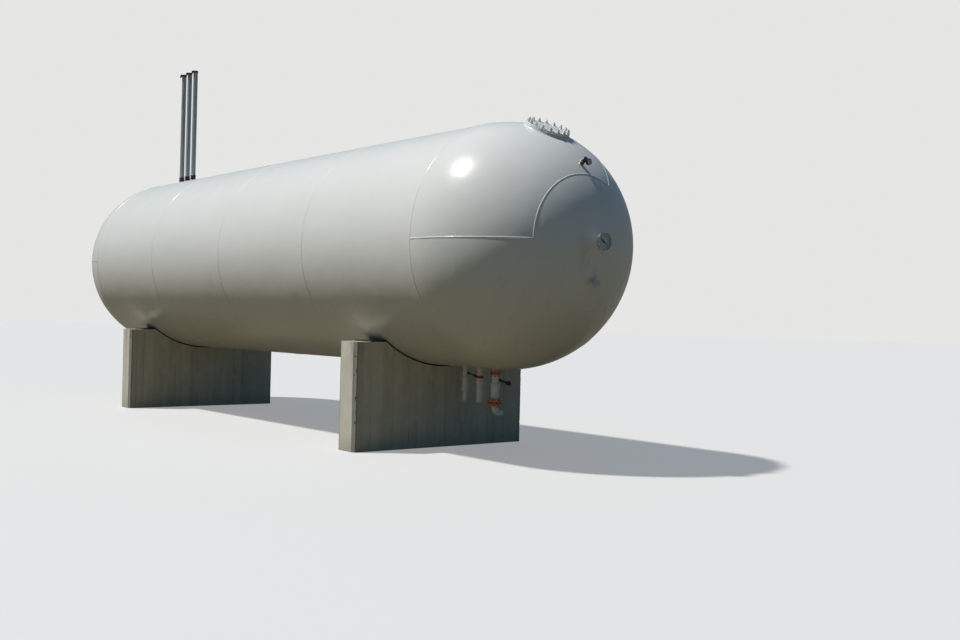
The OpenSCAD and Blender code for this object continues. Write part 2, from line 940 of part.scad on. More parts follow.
// Felt in each cradle, which runs on over the pier's flat top on both sides
module pier_felts() {
    color(felt_black) for (x = [near_pier_x, far_pier_x]) translate([x - pier_t / 2, 0, 0])
        difference() {
            union() {
                difference() {
                    translate([0, 0, axis_h]) along_x()
                        cylinder(r = cradle_r, h = pier_t, $fn = fn_big);
                    translate([-past, -tank_od, pier_h])
                        cube([pier_t + 2 * past, 2 * tank_od, 2 * tank_od]);
                }
                translate([0, -cradle_y - felt_out, pier_h])
                    cube([pier_t, 2 * (cradle_y + felt_out), felt_t]);
            }
            translate([-past, 0, axis_h]) along_x()
                cylinder(r = tank_r, h = pier_t + 2 * past, $fn = fn_big);
        }
}

shell_course(0);  // shell_course_1
shell_course(1);  // shell_course_2
shell_course(2);  // shell_course_3
shell_course(3);  // shell_course_4
near_head_petal_1();
near_head_petal_2();
near_head_petal_3();
near_head_crown();
far_head_petal_1();
far_head_petal_2();
far_head_petal_3();
far_head_crown();
shell_welds();
near_head_welds();
far_head_welds();
manway_pad();
manway_gasket();
manway_cover();
level_gauge_boss();
level_gauge_case();
level_gauge_dial();
level_gauge_pointer();
level_gauge_glass();
thermometer_well();
thermometer_case();
gauge_valve();
gauge_valve_plug();
pressure_gauge();
gauge_dials();
outlet_nozzles();
vapour_valve();
vapour_lever();
vapour_riser();
fill_valve();
fill_band();
fill_riser();
liquid_valve();
liquid_lever();
liquid_elbow();
liquid_flanges();
relief_nozzles();
relief_valves();
vent_stacks();
rain_caps();
near_pier();
far_pier();
pier_felts();
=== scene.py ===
"""Looks of a horizontal pressure tank on two concrete piers."""
import json
import math
import random

import bmesh
import bpy
from bpy.props import FloatProperty, FloatVectorProperty, IntProperty, PointerProperty
from bpy.types import Operator, Panel, PropertyGroup
from mathutils import Matrix, Vector


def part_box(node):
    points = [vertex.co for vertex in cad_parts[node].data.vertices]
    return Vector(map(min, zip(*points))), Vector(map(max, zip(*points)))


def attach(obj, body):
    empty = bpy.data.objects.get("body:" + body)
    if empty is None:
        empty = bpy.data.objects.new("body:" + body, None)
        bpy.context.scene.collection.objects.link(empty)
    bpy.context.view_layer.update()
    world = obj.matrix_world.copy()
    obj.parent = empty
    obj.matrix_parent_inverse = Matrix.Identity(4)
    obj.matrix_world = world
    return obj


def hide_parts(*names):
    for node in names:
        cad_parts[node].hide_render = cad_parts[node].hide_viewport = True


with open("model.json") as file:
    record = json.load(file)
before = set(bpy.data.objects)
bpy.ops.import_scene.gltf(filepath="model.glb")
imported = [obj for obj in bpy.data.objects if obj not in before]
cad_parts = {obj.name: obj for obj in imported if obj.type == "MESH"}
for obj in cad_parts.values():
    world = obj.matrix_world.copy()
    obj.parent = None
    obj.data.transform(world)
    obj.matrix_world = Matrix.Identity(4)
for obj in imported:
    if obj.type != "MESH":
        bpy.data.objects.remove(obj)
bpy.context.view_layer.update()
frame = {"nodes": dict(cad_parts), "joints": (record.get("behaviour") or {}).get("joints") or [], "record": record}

bl_info = {
    "name": "Horizontal Pressure Tank",
    "version": (1, 0, 0),
    "blender": (4, 5, 0),
    "location": "3D View > Sidebar > Tank",
    "description": "Finishes, fasteners, dials and piers of a horizontal pressure tank",
    "category": "Object",
}

# Places that the frame gives
SHELL_LOW, SHELL_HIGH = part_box("shell_course_1")
TANK_R = (SHELL_HIGH.z - SHELL_LOW.z) / 2
AXIS_Z = SHELL_LOW.z + TANK_R
BELLY_Z = AXIS_Z - TANK_R
NEAR_CENTRE = Vector((SHELL_HIGH.x, 0, AXIS_Z))
NEAR_TIP = SHELL_HIGH.x + TANK_R
PIER_LOW, PIER_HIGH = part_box("near_pier")

# Sizes of standard fittings, in metres
STUD_ROOT = 0.0017  # depth of a stud's thread
STUD_FOOT = 0.03  # length of a stud inside the cover
OUTLETS = ("vapour_riser", "fill_riser", "liquid_elbow")
NOZZLE_RADII = (0.0412, 0.0555, 0.0445)  # of the three outlets
RELIEF_R = 0.0555
COUPLING_R = 0.027  # of the gauge valve
FLANGE_STUD_R = 0.008
FLANGE_STUD_PAST = 0.007  # a flange stud's end past its nut
WASHER_T = 0.0025
PIPE_PITCH = 0.0032  # of the stacks' pipe thread
PIPE_TURNS = 7
LEVER_DROOP = math.radians(18)
MARK_T = 0.0006  # thickness of the dials' marks
DIAL_SWEEP = 1.5 * math.pi

# Form boards and ties of the piers, in metres
FIRST_JOINT = 0.128  # from a pier's side to the first joint between boards
LAST_JOINT = 0.1  # no joint comes nearer to the other side
NARROW = (0, 1, 0, 0, 1, 1, 1)  # which boards are narrow, by turns
BOARD_SPAN = 4.0  # width that the ramp of board tones covers
TIE_ROWS = (0.32, 0.93, 1.33)
FIRST_TIE = 0.647  # from a pier's side
CRADLE_GAP = 0.02  # between the shell and the concrete
CHIPS = 34  # on each upright corner
TOP_CHIPS = 9  # on each top edge
PIER_SHARP = 20  # degrees between faces


class TankSizes(PropertyGroup):
    """Sizes and colours of the tank's small pieces"""

    manway_angle: FloatProperty(
        name="Manway angle", description="Angle between the manway's and tank's axes",
        default=math.radians(65), subtype="ANGLE")
    stud_circle: FloatProperty(
        name="Stud circle", description="Diameter of the circle of studs",
        default=0.5398, unit="LENGTH")
    stud_d: FloatProperty(
        name="Stud diameter", description="Diameter of a stud over its thread",
        default=0.0254, unit="LENGTH")
    stud_up: FloatProperty(
        name="Stud height", description="Height of a stud's end over the cover",
        default=0.045, unit="LENGTH")
    stud_pitch: FloatProperty(
        name="Thread pitch", description="Distance between turns of a stud's thread",
        default=0.0032, unit="LENGTH")
    nut_flats: FloatProperty(
        name="Nut width", description="Width of a nut over its flats",
        default=0.0413, unit="LENGTH")
    nut_h: FloatProperty(
        name="Nut height", description="Height of a nut", default=0.025, unit="LENGTH")
    studs: IntProperty(
        name="Studs", description="Number of studs in the cover", default=16)
    fillet: FloatProperty(
        name="Fillet", description="Leg of the weld round a nozzle or coupling",
        default=0.011, unit="LENGTH")
    valve_angle: FloatProperty(
        name="Gauge valve angle", default=math.radians(36.5), subtype="ANGLE",
        description="Angle between the tank's axis and the gauge valve")
    paint: FloatVectorProperty(
        name="Paint", description="Colour of the tank's paint",
        default=(0.84, 0.845, 0.82), subtype="COLOR")
    dust: FloatVectorProperty(
        name="Dust", description="Colour of the dust and the runs on the paint",
        default=(0.43, 0.38, 0.28), subtype="COLOR")
    rust: FloatVectorProperty(
        name="Rust", description="Colour of rust specks and stains",
        default=(0.27, 0.11, 0.035), subtype="COLOR")


class PierSizes(PropertyGroup):
    """Sizes and colours of the piers"""

    board_w: FloatProperty(
        name="Wide board", description="Width of a wide form board",
        default=0.184, unit="LENGTH")
    board_n: FloatProperty(
        name="Narrow board", description="Width of a narrow form board",
        default=0.14, unit="LENGTH")
    groove: FloatProperty(
        name="Groove", description="Depth of the mark of a joint between boards",
        default=0.009, unit="LENGTH")
    chamfer: FloatProperty(
        name="Chamfer", description="Leg of the chamfer on a pier's upright corners",
        default=0.036, unit="LENGTH")
    tie_step: FloatProperty(
        name="Tie step", description="Distance between two form ties across the pier",
        default=0.61, unit="LENGTH")
    tie_d: FloatProperty(
        name="Tie hole", description="Diameter of a form tie's hole",
        default=0.02, unit="LENGTH")
    tie_deep: FloatProperty(
        name="Tie depth", description="Depth of a form tie's hole",
        default=0.012, unit="LENGTH")
    concrete: FloatVectorProperty(
        name="Concrete", description="Colour of the concrete's faces",
        default=(0.69, 0.66, 0.55), subtype="COLOR")
    cement: FloatVectorProperty(
        name="Cement", description="Colour of the concrete's pale cement skin",
        default=(0.8, 0.78, 0.68), subtype="COLOR")
    damp: FloatVectorProperty(
        name="Damp", description="Colour of the concrete where it is damp or dirty",
        default=(0.33, 0.31, 0.255), subtype="COLOR")


class StageSizes(PropertyGroup):
    """Camera, light and floor"""

    camera_at: FloatVectorProperty(
        name="Camera", description="Place of the camera",
        default=(16.418, -9.739, 1.849), subtype="TRANSLATION", unit="LENGTH")
    yaw: FloatProperty(
        name="Yaw", description="Turn of the camera from the rear direction",
        default=math.radians(-50.35), subtype="ANGLE")
    roll: FloatProperty(
        name="Roll", description="Lean of the camera to its left",
        default=math.radians(1.41), subtype="ANGLE")
    lens: FloatProperty(
        name="Lens", description="Focal length on a 36 mm wide sensor", default=41.07)
    sun_turn: FloatProperty(
        name="Key turn", description="Direction of the key light round the tank",
        default=math.radians(-126.3), subtype="ANGLE")
    sun_up: FloatProperty(
        name="Key height", description="Height of the key light above the horizon",
        default=math.radians(57.6), subtype="ANGLE")
    sun_size: FloatProperty(
        name="Key size", description="Angle that the key light spans",
        default=math.radians(3), subtype="ANGLE")
    sun_power: FloatProperty(
        name="Key power", description="Strength of the key light", default=3.45)
    sun_colour: FloatVectorProperty(
        name="Key colour", description="Colour of the key light",
        default=(1.0, 0.975, 0.93), subtype="COLOR")
    sky_top: FloatVectorProperty(
        name="Sky overhead", description="Light of the sky dome overhead",
        default=(0.018, 0.07, 0.145), subtype="COLOR")
    sky_mid: FloatVectorProperty(
        name="Sky half way", description="Light of the sky dome half way up",
        default=(0.04, 0.108, 0.182), subtype="COLOR")
    sky_low: FloatVectorProperty(
        name="Sky low down", description="Light of the sky dome at the horizon",
        default=(0.105, 0.11, 0.1), subtype="COLOR")
    backdrop: FloatVectorProperty(
        name="Backdrop", description="Colour of the floor and the backdrop in view",
        default=(0.79, 0.79, 0.78), subtype="COLOR")
    mirrored: FloatProperty(
        name="Mirrored backdrop", description="Share of the backdrop that gloss shows",
        default=0.12, subtype="FACTOR")
    floor_glow: FloatProperty(
        name="Floor glow", default=0.36, subtype="FACTOR",
        description="Share of the floor's colour that shadows leave in view")
    ground: FloatVectorProperty(
        name="Ground light", description="Colour that the floor throws back",
        default=(0.15, 0.125, 0.066), subtype="COLOR")


# Shader maths

class Value:
    """A shader socket that takes part in sums."""

    def __init__(self, shader, socket):
        self.shader = shader
        self.socket = socket

    def maths(self, operation, *operands):
        """Math node on these operands."""
        sockets = dict(enumerate(operands))
        return self.shader.add("ShaderNodeMath", {"operation": operation}, sockets)

    def __add__(self, other):
        return self.maths("ADD", self, other)

    def __radd__(self, other):
        return self.maths("ADD", other, self)

    def __sub__(self, other):
        return self.maths("SUBTRACT", self, other)

    def __rsub__(self, other):
        return self.maths("SUBTRACT", other, self)

    def __mul__(self, other):
        return self.maths("MULTIPLY", self, other)

    def __rmul__(self, other):
        return self.maths("MULTIPLY", other, self)

    def __truediv__(self, other):
        return self.maths("DIVIDE", self, other)

    def least(self, other):
        """The smaller of two values."""
        return self.maths("MINIMUM", self, other)

    def most(self, other):
        """The larger of two values."""
        return self.maths("MAXIMUM", self, other)

    def size(self):
        """The value without its sign."""
        return self.maths("ABSOLUTE", self)

    def step(self, low, high):
        """0 up to low, 1 from high, smooth between them; high may be the lower one."""
        eased = self.shader.add(
            "ShaderNodeMapRange", {"interpolation_type": "SMOOTHSTEP"},
            {"Value": self, "From Min": min(low, high), "From Max": max(low, high)})
        return 1 - eased if low > high else eased


class Nodes:
    """Node tree with short ways to add to it."""

    def __init__(self, tree):
        self.tree = tree
        tree.nodes.clear()

    def add(self, kind, settings=None, sockets=None, out=0):
        """Adds a node: its settings first, then its sockets' values or links."""
        node = self.tree.nodes.new(kind)
        for name, value in (settings or {}).items():
            setattr(node, name, value)
        for key, value in (sockets or {}).items():
            self.feed(node.inputs[key], value)
        return None if out is None else Value(self, node.outputs[out])

    def feed(self, socket, value):
        """Links a value to a socket, or writes a plain number or colour there."""
        if isinstance(value, Value):
            self.tree.links.new(value.socket, socket)
        elif socket.type == "RGBA":
            socket.default_value = (*value, 1.0)
        else:
            socket.default_value = value

    def parts(self, vector):
        """X, Y and Z of a vector."""
        node = self.tree.nodes.new("ShaderNodeSeparateXYZ")
        self.tree.links.new(vector.socket, node.inputs[0])
        return [Value(self, socket) for socket in node.outputs]

    def join(self, x, y, z):
        """Vector of three values."""
        return self.add("ShaderNodeCombineXYZ", sockets={0: x, 1: y, 2: z})

    def noise(self, scale, detail=3.0, rough=0.55, at=None):
        """Noise from 0 to 1."""
        return self.add("ShaderNodeTexNoise", None, {
            "Vector": at or self.place, "Scale": scale, "Detail": detail,
            "Roughness": rough})

    def cells(self, scale, out="Distance"):
        """Distance or colour of Voronoi cells."""
        return self.add("ShaderNodeTexVoronoi", None,
                        {"Vector": self.place, "Scale": scale}, out)

    def mix(self, share, first, second):
        """Colour between two colours."""
        return self.add("ShaderNodeMix", {"data_type": "RGBA"},
                        {0: share, 6: first, 7: second}, 2)

    def seen_share(self, mirrored):
        """1 for rays that show the backdrop, a share of it for gloss, 0 for light."""
        rays = self.tree.nodes.new("ShaderNodeLightPath")
        camera, gloss, through = [
            Value(self, rays.outputs[f"Is {kind} Ray"])
            for kind in ("Camera", "Glossy", "Transmission")]
        return camera.most(gloss * mirrored).most(through)


class Shader(Nodes):
    """Node tree of one material."""

    def __init__(self, name):
        self.material = bpy.data.materials.new(name + "_finish")
        self.material.use_nodes = True
        super().__init__(self.material.node_tree)
        self.surface = self.tree.nodes.new("ShaderNodeBsdfPrincipled")
        output = self.tree.nodes.new("ShaderNodeOutputMaterial")
        self.tree.links.new(self.surface.outputs[0], output.inputs["Surface"])
        self.place = self.add("ShaderNodeTexCoord", out="Object")
        self.x, self.y, self.z = self.parts(self.place)

    def set(self, **sockets):
        """Sets sockets of the surface by name, with _ for a space."""
        for key, value in sockets.items():
            self.feed(self.surface.inputs[key.replace("_", " ")], value)
        return self

    def bump(self, height, distance):
        """Bump over the surface: its height from 0 to 1 and its depth in metres."""
        return self.set(Normal=self.add(
            "ShaderNodeBump", None, {"Height": height, "Distance": distance}))


# Finishes of the record's slots, and of the dials' print

def tank_paint():
    """Gloss white enamel over plate: slight waves, dust low down, runs and rust."""
    sizes = bpy.context.scene.tank_sizes
    yellow_stain = (0.52, 0.42, 0.25)
    s = Shader("tank_paint")
    broad = s.noise(0.9, 4.0)
    fine = s.noise(38.0, 3.0)
    height = (s.z - BELLY_Z) / (2 * TANK_R)
    streak_place = s.join(s.x * 9.0, s.y * 9.0, s.z * 0.55)
    runs = s.noise(1.0, 5.0, 0.62, streak_place).step(0.56, 0.74)
    low = height.step(0.62, 0.1)
    film = low * (0.35 + 0.4 * broad) + runs * low * 0.5
    specks = s.cells(14.0).step(0.06, 0.018) * s.noise(1.4, 2.0).step(0.57, 0.66)
    chalky = [c * 0.93 for c in sizes.paint]
    chalk = s.mix(broad.step(0.35, 0.7) * 0.25, sizes.paint, chalky)
    dusty = s.mix((film * 0.42).least(0.5), chalk, sizes.dust)
    stained = s.mix(stain_mask(s) * 0.34, dusty, yellow_stain)
    s.set(Base_Color=s.mix(specks * 0.8, stained, sizes.rust))
    s.set(Roughness=0.22 + 0.05 * broad + 0.03 * film.least(1.0) + 0.3 * specks)
    s.set(Specular_IOR_Level=0.3)
    waves = s.noise(1.5, 2.0) * 0.85 + fine * 0.008 + s.noise(260.0, 2.0) * 0.001
    return s.bump(waves, 0.012).material


def stain_mask(s):
    """Faint stains on the near head, beside the level gauge and below it."""
    face = s.x.step(NEAR_TIP - 0.35, NEAR_TIP - 0.1)
    wander = s.noise(7.0, 3.0) * 0.1 - 0.05
    beside = (s.y + 0.19 + wander).size().step(0.16, 0.02)
    tall = (s.z - (AXIS_Z - 0.13)).size().step(0.3, 0.06)
    under = (s.y + wander * 0.5).size().step(0.07, 0.015)
    drip = (s.z - (AXIS_Z - 0.3)).size().step(0.25, 0.1)
    both = (beside * tall * 0.9 + under * drip * 0.35).least(1.0)
    return both * face * s.noise(16.0).step(0.2, 0.65)


def fitting_paint():
    """Satin white paint on castings and pipe, with dirt in its hollows."""
    white, grime_brown = (0.85, 0.855, 0.83), (0.4, 0.37, 0.3)
    s = Shader("fitting_paint")
    patch = s.noise(21.0, 4.0)
    grime = s.noise(70.0, 4.0).step(0.48, 0.7) * 0.5 + patch.step(0.5, 0.8) * 0.4
    chips = s.cells(75.0).step(0.16, 0.05) * s.noise(9.0).step(0.58, 0.64)
    base = s.mix(grime.least(0.75) * 0.6, white, grime_brown)
    s.set(Base_Color=s.mix(chips, base, bpy.context.scene.tank_sizes.rust),
          Roughness=0.42 + 0.25 * patch)
    return s.bump(patch * 0.6 + s.noise(240.0) * 0.4, 0.0008).material


def galvanised():
    """Weathered zinc with its spangle, streaked by rain."""
    dull, bright = (0.25, 0.29, 0.3), (0.55, 0.59, 0.6)
    s = Shader("galvanised")
    spangle = s.parts(s.cells(55.0, "Color"))[0]
    streak = s.noise(1.0, 4.0, 0.6, s.join(s.x * 60.0, s.y * 60.0, s.z * 1.6))
    s.set(Base_Color=s.mix(spangle * 0.35 + streak * 0.65, dull, bright))
    s.set(Metallic=0.55, Roughness=0.4 + 0.25 * streak)
    return s.bump(spangle * 0.3 + streak * 0.7, 0.0005).material


def dark_iron():
    """Black coated iron, greyed and rusted along its wear."""
    black, worn_grey = (0.022, 0.022, 0.021), (0.085, 0.08, 0.072)
    s = Shader("dark_iron")
    wear = s.noise(42.0, 5.0, 0.65)
    grey = s.mix(wear.step(0.42, 0.75) * 0.6, black, worn_grey)
    rusty = s.noise(24.0, 4.0).step(0.6, 0.72) * 0.7
    s.set(Base_Color=s.mix(rusty, grey, bpy.context.scene.tank_sizes.rust))
    s.set(Roughness=0.46 + 0.3 * wear)
    return s.bump(wear * 0.5 + s.noise(420.0) * 0.5, 0.0009).material


def faded_enamel(name, colour, faded):
    """Enamel that the sun has faded, with small chips."""
    chipped = (0.05, 0.03, 0.02)
    s = Shader(name)
    fade = s.noise(14.0, 4.0).step(0.3, 0.7)
    chips = s.cells(120.0).step(0.2, 0.08) * s.noise(22.0).step(0.56, 0.62)
    s.set(Base_Color=s.mix(chips, s.mix(fade, colour, faded), chipped))
    s.set(Roughness=0.4 + 0.28 * fade)
    return s.bump(s.noise(300.0) * 0.7 + fade * 0.3, 0.0007).material


def orange_paint():
    """Orange enamel of the flanges."""
    return faded_enamel("orange_paint", (0.6, 0.11, 0.02), (0.8, 0.32, 0.17))


def red_paint():
    """Dull red enamel of the fill band."""
    return faded_enamel("red_paint", (0.23, 0.02, 0.03), (0.33, 0.07, 0.08))


def bright_metal():
    """Polished bezel metal, hazed by weather."""
    polished, hazed = (0.6, 0.62, 0.64), (0.33, 0.33, 0.32)
    s = Shader("bright_metal")
    haze = s.noise(26.0, 4.0)
    s.set(Base_Color=s.mix(haze.step(0.5, 0.8), polished, hazed))
    s.set(Metallic=1.0, Roughness=0.13 + 0.22 * haze)
    return s.bump(s.noise(500.0) * 0.5 + haze * 0.5, 0.0002).material


def dial_face():
    """Grey-blue printed dial, a little yellowed."""
    grey_blue, yellowed = (0.6, 0.68, 0.75), (0.66, 0.68, 0.66)
    s = Shader("dial_face")
    age = s.noise(30.0, 3.0)
    s.set(Base_Color=s.mix(age * 0.5, grey_blue, yellowed))
    return s.set(Roughness=0.42 + 0.15 * age).material


def glass():
    """Clear gauge glass with a trace of dust."""
    s = Shader("glass").set(Base_Color=(0.94, 0.97, 0.97), Roughness=0.04)
    s.set(Alpha=0.05 + 0.07 * s.noise(22.0, 4.0).step(0.45, 0.8))
    return s.set(IOR=1.5).material


def white_plastic():
    """White moulded plug."""
    white, worn_grey = (0.82, 0.82, 0.8), (0.55, 0.52, 0.45)
    s = Shader("white_plastic")
    worn = s.noise(60.0, 4.0)
    s.set(Base_Color=s.mix(worn.step(0.5, 0.8) * 0.5, white, worn_grey))
    return s.set(Roughness=0.28 + 0.2 * worn).bump(s.noise(300.0), 0.0003).material


def concrete():
    """Form-cast concrete: board tones, grain, pale skin, damp foot, runs and voids, with painted shade on the
    chamfered corners and in the voids.
    """
    pier = bpy.context.scene.pier_sizes
    # Colour of the painted shade in the voids
    painted_void_shade = (0.1, 0.09, 0.07)
    # Colour of the painted shade on the chamfers: a darker damp colour
    painted_chamfer_shade = [c * 0.75 for c in pier.damp]
    s = Shader("concrete")
    tone = board_tone(s, pier)
    grain = s.noise(1.0, 4.0, 0.6, s.join(s.x * 110.0, s.y * 110.0, s.z * 2.2))
    cloud = s.noise(1.9, 5.0, 0.6)
    patch = s.noise(6.5, 4.0, 0.6, s.join(s.x, s.y * 1.3, s.z * 0.6))
    sand = s.noise(210.0, 3.0)
    run_place = s.join(s.x * 6.0, s.y * 6.0, s.z * 0.4)
    runs = s.noise(1.0, 4.0, 0.6, run_place).step(0.48, 0.7)
    clouds = cloud.step(0.4, 0.7) * 0.4 + patch.step(0.48, 0.7) * 0.6
    skin = s.mix((clouds + tone * 0.16).least(1.0), pier.concrete, pier.cement)
    foot = s.z.step(0.3, 0.02) * (0.4 + 0.6 * cloud)
    head = (PIER_HIGH.z - s.z).step(0.4, 0.02) * runs
    low = (1 - tone) * 0.13 + runs * 0.22 + grain.step(0.55, 0.8) * 0.2
    dirty = s.mix((foot * 0.5 + head * 0.3 + low).least(0.8), skin, pier.damp)
    # Voids: a bump recess, and a near-black brown painted in as the shade inside the holes
    voids = s.cells(26.0).step(0.09, 0.04) * s.noise(5.0).step(0.46, 0.6)
    # Painted shade along the chamfered upright corners and a strip beside them, broken up by the sand noise
    side = PIER_HIGH.y
    across = s.y.size()
    inner = across.step(side - 0.045, side - 0.038)
    corner = inner * across.step(side - 0.001, side - 0.003)
    chamfer_shaded = s.mix(corner * (0.35 + 0.65 * sand), dirty, painted_chamfer_shade)
    s.set(Base_Color=s.mix(voids * 0.8, chamfer_shaded, painted_void_shade))
    s.set(Roughness=0.86 + 0.1 * cloud)
    relief = grain * 0.3 + sand * 0.3 + cloud * 0.15 + patch * 0.25 - voids * 0.8
    return s.bump(relief, 0.005).material


def board_joints(pier):
    """Places across a pier of the joints between its boards."""
    joints = [PIER_LOW.y + FIRST_JOINT]
    while joints[-1] < -PIER_LOW.y - LAST_JOINT:
        narrow = NARROW[len(joints) % len(NARROW)]
        joints.append(joints[-1] + (pier.board_n if narrow else pier.board_w))
    return joints[:-1]


def board_tone(s, pier):
    """Even tone from 0 to 1 for each form board."""
    rng = random.Random(8)
    node = s.tree.nodes.new("ShaderNodeValToRGB")
    ramp = node.color_ramp
    ramp.interpolation = "CONSTANT"
    for joint in board_joints(pier):
        stop = ramp.elements.new((joint + BOARD_SPAN / 2) / BOARD_SPAN)
        grey = rng.random()
        stop.color = (grey, grey, grey, 1)
    s.feed(node.inputs[0], (s.y + BOARD_SPAN / 2) / BOARD_SPAN)
    return s.parts(Value(s, node.outputs[0]))[0]


def felt():
    """Black bituminous felt, and the gasket."""
    black, napped = (0.008, 0.008, 0.008), (0.035, 0.033, 0.03)
    s = Shader("felt")
    nap = s.noise(190.0, 4.0)
    s.set(Base_Color=s.mix(nap, black, napped), Roughness=0.9)
    return s.bump(nap, 0.0015).material


def dial_print():
    """Black print of the dials."""
    s = Shader("dial_print").set(Base_Color=(0.012, 0.013, 0.016))
    return s.set(Roughness=0.45 + 0.2 * s.noise(90.0)).material


FINISHES = {made.__name__: made for made in (
    tank_paint, fitting_paint, galvanised, dark_iron, orange_paint, red_paint,
    bright_metal, dial_face, glass, white_plastic, concrete, felt, dial_print)}


def finish_of(name):
    """Material of that name, made at its first use."""
    return bpy.data.materials.get(name + "_finish") or FINISHES[name]()


# Places

def move(x, y, z):
    """Frame moved by x, y and z."""
    return Matrix.Translation((x, y, z))


def turn(angle, axis="Z"):
    """Frame turned about an axis."""
    return Matrix.Rotation(angle, 4, axis)


def along_x(place):
    """Frame at a place whose Z runs along the tank towards the near head."""
    return Matrix.Translation(place) @ turn(math.pi / 2, "Y")


def square_to_head(angle, rise=0.0):
    """Frame on the near head, its Z square to the sphere at an angle from the axis."""
    out = Vector((math.cos(angle), 0, math.sin(angle)))
    spot = Matrix.Translation(NEAR_CENTRE + out * (TANK_R + rise))
    return spot @ turn(math.pi / 2 - angle, "Y")


def seen_from_head(node, angle):
    """A CAD node's points, seen from a frame on the near head."""
    back = square_to_head(angle).inverted()
    return [back @ v.co for v in frame["nodes"][node].data.vertices]


def ring_of(count, offset=0.0):
    """Turns about Z for a ring of like pieces."""
    return [turn(2 * math.pi * (i + offset) / count) for i in range(count)]


def half_width(node):
    """Half of a CAD node's width across the tank."""
    low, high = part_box(node)
    return (high.y - low.y) / 2


def outlet_x(i):
    """Place of an outlet along the tank: 0 vapour, 1 fill, 2 liquid."""
    return sum(corner.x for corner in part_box(OUTLETS[i])) / 2


def stack_places():
    """Places of the three stacks along the tank."""
    low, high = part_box("vent_stacks")
    radius = half_width("vent_stacks")
    first, last = low.x + radius, high.x - radius
    return [first, (first + last) / 2, last]


# Mesh helpers

def show(name, mesh):
    """Object of a mesh in the scene."""
    made = bpy.data.objects.new(name, mesh)
    bpy.context.scene.collection.objects.link(made)
    return made


def mesh_of(name, bm):
    """Mesh of a bmesh, which is freed."""
    mesh = bpy.data.meshes.new(name)
    bm.to_mesh(mesh)
    bm.free()
    return mesh


def make_piece(name, bm, finish, body="tank", sharp=35, replaced=()):
    """Turns a bmesh into a piece that rides on a body."""
    bmesh.ops.recalc_face_normals(bm, faces=bm.faces)
    mesh = mesh_of(name, bm)
    shade(mesh, sharp)
    mesh.materials.append(finish_of(finish))
    piece = show(name, mesh)
    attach(piece, body)
    if replaced:
        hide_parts(*replaced)
    return piece


def shade(mesh, sharp):
    """Smooth shading with sharp edges above an angle, and no normals of its own."""
    if "custom_normal" in mesh.attributes:
        mesh.attributes.remove(mesh.attributes["custom_normal"])
    mesh.polygons.foreach_set("use_smooth", [True] * len(mesh.polygons))
    mesh.set_sharp_from_angle(angle=math.radians(sharp))


def turned(bm, profile, place, sides=48):
    """Turns a profile of [radius, height] points round Z, then moves it."""
    verts = [bm.verts.new((r, 0, z)) for r, z in profile]
    edges = [bm.edges.new(pair) for pair in zip(verts, verts[1:])]
    bmesh.ops.spin(bm, geom=verts + edges, axis=(0, 0, 1), angle=2 * math.pi,
                   steps=sides, use_merge=True)
    mine = reached(verts)
    bmesh.ops.remove_doubles(bm, verts=mine, dist=1e-6)
    mine = [v for v in mine if v.is_valid]
    bmesh.ops.transform(bm, matrix=place, verts=mine)
    return mine


def reached(verts):
    """All vertices joined to these by edges."""
    seen = front = set(verts)
    while front:
        front = {e.other_vert(v) for v in front for e in v.link_edges} - seen
        seen = seen | front
    return list(seen)


def bevelled(bm, geom, offset, segments=2, affect="EDGES"):
    """Bevels edges or corners, and gives their solid's vertices."""
    made = bmesh.ops.bevel(bm, geom=geom, offset=offset, segments=segments,
                           affect=affect, profile=0.5, material=-1)
    return reached([made["verts"][0]])


def rod(bm, place, radius, length, sides=24, bevel=0.0):
    """Round rod from the place's origin along its Z, with bevelled ends."""
    verts = bmesh.ops.create_cone(bm, cap_ends=True, segments=sides, radius1=radius,
                                  radius2=radius, depth=length)["verts"]
    if bevel:
        rims = {e for v in verts for e in v.link_edges
                if abs(e.verts[0].co.z - e.verts[1].co.z) < 1e-7}
        verts = bevelled(bm, list(rims), bevel)
    bmesh.ops.transform(bm, matrix=place @ move(0, 0, length / 2), verts=verts)


def block(bm, place, size):
    """Block of a size round the place's origin."""
    bmesh.ops.create_cube(bm, size=1.0, matrix=place @ Matrix.Diagonal((*size, 1)))


def hex_nut(bm, place, flats, height):
    """Six-sided nut or bolt head with its corners turned off."""
    corner = flats / math.sqrt(3)
    made = bmesh.ops.create_cone(bm, cap_ends=True, segments=6, radius1=corner,
                                 radius2=corner, depth=height)
    verts = bevelled(bm, made["verts"], corner * 0.16, 1, "VERTICES")
    bmesh.ops.transform(bm, matrix=place @ move(0, 0, height / 2), verts=verts)


def weld_fillet(bm, place, radius, leg, slope=0.0, seed=0):
    """Weld round a boss, with slight ripples and sheared to a sloping foot."""
    inner = radius - leg * 0.3
    profile = [(inner, leg), (radius, leg), (radius + leg * 0.28, leg * 0.42),
               (radius + leg * 0.62, leg * 0.2), (radius + leg, -leg * 0.12),
               (inner, -leg * 0.3)]
    verts = turned(bm, profile, Matrix(), 120)
    for vert in verts:
        around = math.atan2(vert.co.y, vert.co.x)
        ripple = 1 + 0.02 * math.sin(around * 40 + seed) * (vert.co.z / leg)
        vert.co.x *= ripple
        vert.co.y *= ripple
        vert.co.z += slope * vert.co.x
    bmesh.ops.transform(bm, matrix=place, verts=verts)


